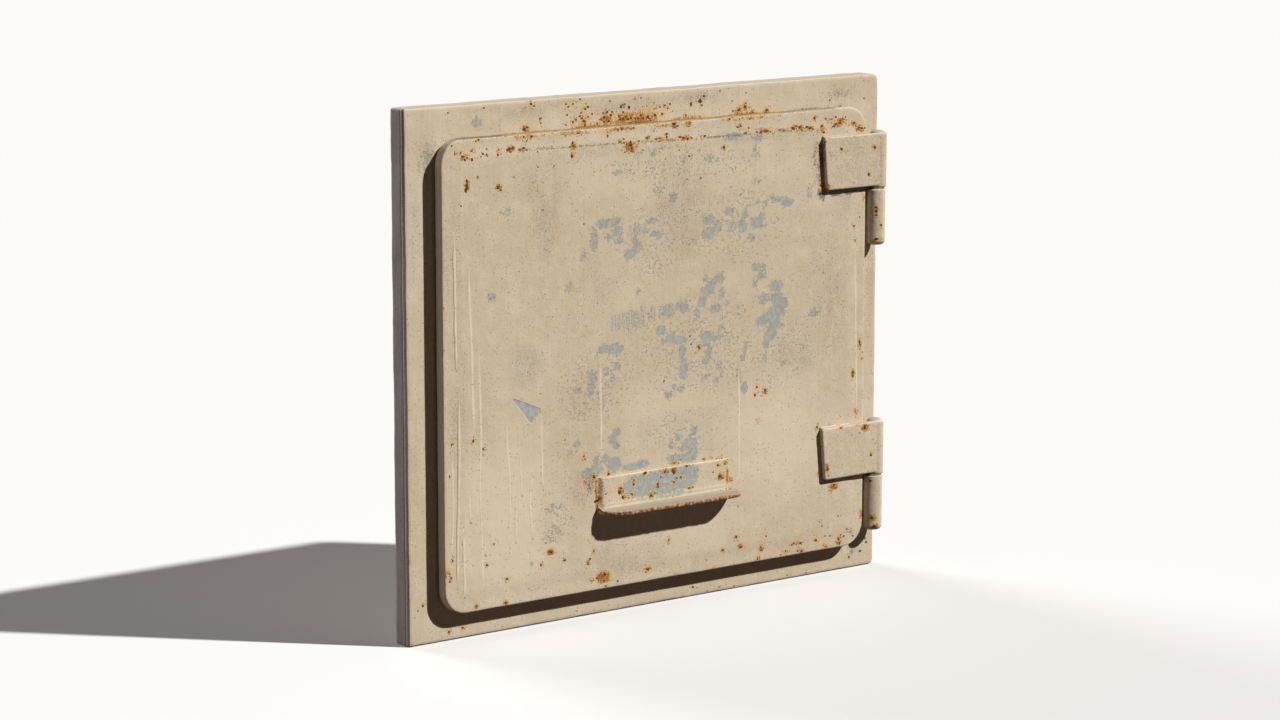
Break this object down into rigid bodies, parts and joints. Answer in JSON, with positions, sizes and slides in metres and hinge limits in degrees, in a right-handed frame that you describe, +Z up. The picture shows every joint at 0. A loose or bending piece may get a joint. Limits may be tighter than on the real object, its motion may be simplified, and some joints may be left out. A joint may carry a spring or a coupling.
{
  "type": "access hatch",
  "caption": "Wall access hatch: a shallow steel frame and a round-cornered pressed door with an angle handle, hung on barrel hinges at its right side.",
  "frame": {"origin": "on the wall face of the bottom edge bar, at the middle of its length and of its thickness", "axes": "+Z up, +X towards the hinges, front faces -Y, the wall is the plane Y = 0"},
  "size_m": [0.592, 0.061, 0.5208],
  "materials": {
    "frame_paint": "aged matt cream paint with rust spots",
    "door_paint": "aged matt cream paint with pale blue patches and rust",
    "hinge_paint": "thick brushed cream paint",
    "handle_paint": "worn cream and pale blue paint, rusty edge",
    "pin_steel": "greased turned steel",
    "washer_brass": "dull",
    "gasket_rubber": "matt black sponge rubber"
  },
  "bodies": {
    "frame": {"frame_face": "frame_paint", "frame_edge_top": "frame_paint", "frame_edge_bottom": "frame_paint", "frame_edge_free": "frame_paint", "frame_edge_hinge": "frame_paint", "opening_coaming": "frame_paint", "frame_knuckle_upper": "hinge_paint", "hinge_pin_upper": "pin_steel", "hinge_washer_upper": "washer_brass", "barrel_weld_upper": "hinge_paint", "frame_knuckle_lower": "hinge_paint", "hinge_pin_lower": "pin_steel", "hinge_washer_lower": "washer_brass", "barrel_weld_lower": "hinge_paint"},
    "door": {"door_pan": "door_paint", "door_gasket": "gasket_rubber", "gasket_retainer_top": "door_paint", "gasket_retainer_bottom": "door_paint", "gasket_retainer_free": "door_paint", "gasket_retainer_hinge": "door_paint", "door_stiffener_upper": "door_paint", "door_stiffener_lower": "door_paint", "handle_angle": "handle_paint", "handle_weld_free": "handle_paint", "handle_weld_hinge": "handle_paint", "door_knuckle_upper": "hinge_paint", "hinge_leaf_upper": "hinge_paint", "leaf_weld_upper": "hinge_paint", "door_knuckle_lower": "hinge_paint", "hinge_leaf_lower": "hinge_paint", "leaf_weld_lower": "hinge_paint"}
  },
  "joints": [
    {"name": "door_swing", "type": "hinge", "parent": "frame", "child": "door", "pos_m": [0.2865, -0.034, 0.2557], "axis": [0, 0, 1], "range_deg": [0, 170]}
  ]
}
